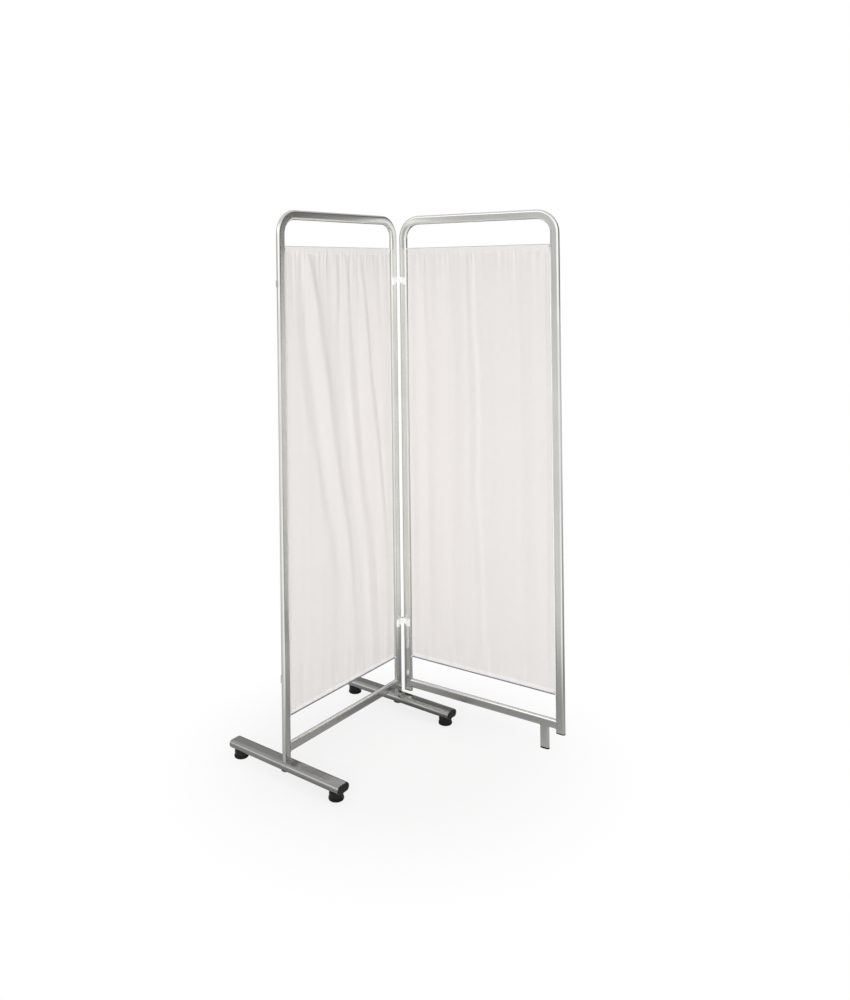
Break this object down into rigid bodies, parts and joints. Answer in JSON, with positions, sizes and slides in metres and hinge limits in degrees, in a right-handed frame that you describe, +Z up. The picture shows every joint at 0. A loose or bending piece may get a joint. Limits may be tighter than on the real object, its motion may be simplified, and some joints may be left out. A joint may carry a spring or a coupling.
{
  "type": "folding partition screen",
  "caption": "Free-standing folding privacy screen: a footed tubular steel panel and a hinged wing on a short leg, each with a gathered curtain.",
  "frame": {"origin": "middle of the floor area that the standing screen covers, on the floor", "axes": "+Z up; the footed panel runs along X with the hinge at its +X end; the wing runs towards -Y, 3.5 degrees past square"},
  "size_m": [0.6562, 0.8242, 1.7],
  "materials": {
    "satin_steel": "satin",
    "foot_bar_steel": "satin",
    "fastener_steel": "satin",
    "black_plastic": "matte",
    "black_rubber": "matte",
    "white_plastic": "gloss",
    "grey_plastic": "matte",
    "wire_coating": "gloss",
    "cream_cloth": "plain weave"
  },
  "bodies": {
    "footed_panel": {"footed_hoop": "satin_steel", "footed_rail": "satin_steel", "outer_foot_bar": "foot_bar_steel", "hinge_foot_bar": "foot_bar_steel", "outer_bar_plugs": "black_plastic", "hinge_bar_plugs": "black_plastic", "upright_inserts": "fastener_steel", "foot_bar_bolts": "fastener_steel", "foot_bar_washers": "fastener_steel", "foot_inserts": "fastener_steel", "spare_hinge_caps": "grey_plastic", "footed_upper_wire": "wire_coating", "footed_lower_wire": "wire_coating", "footed_wire_bushes": "white_plastic", "footed_curtain": "cream_cloth", "upper_hinge_fixed_leaf": "white_plastic", "lower_hinge_fixed_leaf": "white_plastic", "upper_hinge_pin": "fastener_steel", "lower_hinge_pin": "fastener_steel", "fixed_leaf_screws": "fastener_steel"},
    "wing_panel": {"wing_hoop": "satin_steel", "wing_rail": "satin_steel", "wing_leg": "satin_steel", "wing_leg_tip": "black_plastic", "wing_end_caps": "black_plastic", "wing_upper_wire": "wire_coating", "wing_lower_wire": "wire_coating", "wing_wire_bushes": "white_plastic", "wing_curtain": "cream_cloth", "upper_hinge_moving_leaf": "white_plastic", "lower_hinge_moving_leaf": "white_plastic", "moving_leaf_screws": "fastener_steel"},
    "foot_1": {"foot_1_pad": "black_rubber", "foot_1_stud": "black_plastic"},
    "foot_2": {"foot_2_pad": "black_rubber", "foot_2_stud": "black_plastic"},
    "foot_3": {"foot_3_pad": "black_rubber", "foot_3_stud": "black_plastic"},
    "foot_4": {"foot_4_pad": "black_rubber", "foot_4_stud": "black_plastic"}
  },
  "joints": [
    {"name": "wing_fold", "type": "hinge", "parent": "footed_panel", "child": "wing_panel", "pos_m": [0.2744, 0.17863, 0], "axis": [0, 0, 1], "range_deg": [-93.5, 86.5]},
    {"name": "foot_1_level", "type": "slide", "parent": "footed_panel", "child": "foot_1", "axis": [0, 0, -1], "range_m": [0, 0.01]},
    {"name": "foot_2_level", "type": "slide", "parent": "footed_panel", "child": "foot_2", "axis": [0, 0, -1], "range_m": [0, 0.01]},
    {"name": "foot_3_level", "type": "slide", "parent": "footed_panel", "child": "foot_3", "axis": [0, 0, -1], "range_m": [0, 0.01]},
    {"name": "foot_4_level", "type": "slide", "parent": "footed_panel", "child": "foot_4", "axis": [0, 0, -1], "range_m": [0, 0.01]}
  ]
}
